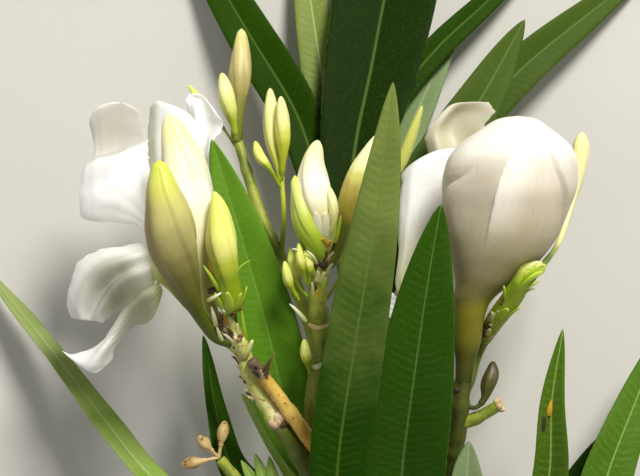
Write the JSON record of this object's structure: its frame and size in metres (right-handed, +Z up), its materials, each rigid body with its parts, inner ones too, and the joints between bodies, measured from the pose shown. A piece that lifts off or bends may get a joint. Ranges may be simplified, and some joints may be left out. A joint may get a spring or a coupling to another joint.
{
  "type": "cut flowering oleander branch",
  "caption": "Cut shrub branch lying on its side, with forked green stems, long narrow leaves, rolled flower buds and white blooms.",
  "frame": {"origin": "the middle of the branch seen from above, on the surface that it lies on", "axes": "+Y from the cut end of the stem to the leaf tips, +Z up, +X to the right seen from above with the cut end towards the viewer"},
  "size_m": [0.1606, 0.2533, 0.0697],
  "materials": {
    "stem": "smooth green bark",
    "withered": "dry, matt",
    "leaf": "leathery, half gloss",
    "bud": "soft, satin",
    "petal": "soft, matt"
  },
  "bodies": {
    "root": {"main_stem": "stem", "left_flower_stem": "stem", "right_flower_stem": "stem", "back_flower_stem": "stem", "back_leafy_shoot": "stem", "spent_flower_stem": "stem", "left_cut_stub": "stem", "right_cut_stub": "stem", "dead_flower_stalk": "withered", "spent_calyx_cluster": "withered", "bud_right_spent": "withered", "leaf_front_centre": "leaf", "leaf_front_right": "leaf", "leaf_left": "leaf", "leaf_back_tall": "leaf", "leaf_back_left": "leaf", "leaf_back_pale": "leaf", "leaf_back_right": "leaf", "leaf_back_small": "leaf", "leaf_right_high": "leaf", "leaf_right_far": "leaf", "leaf_low_left_long": "leaf", "leaf_right_folded": "leaf", "leaf_right_edge": "leaf", "leaf_right_dark": "leaf", "leaf_low_grey": "leaf", "leaf_left_narrow": "leaf", "leaf_left_bright": "leaf", "leaf_foot_left": "leaf", "leaf_foot_right": "leaf", "young_leaf_tuft": "leaf", "bud_left_olive": "bud", "bud_left_white": "bud", "bud_left_green": "bud", "bud_centre_white": "bud", "bud_centre_cream": "bud", "bud_centre_slim": "bud", "bud_centre_small": "bud", "bud_right_slim": "bud", "bud_right_tall": "bud", "bud_back_cream": "bud", "bud_back_green": "bud", "bud_back_slim": "bud", "bud_back_pair_left": "bud", "bud_back_pair_right": "bud", "bud_back_small": "bud", "bloom_left_open": "petal", "bloom_right_closed": "petal", "bloom_right_back": "petal"}
  },
  "joints": []
}
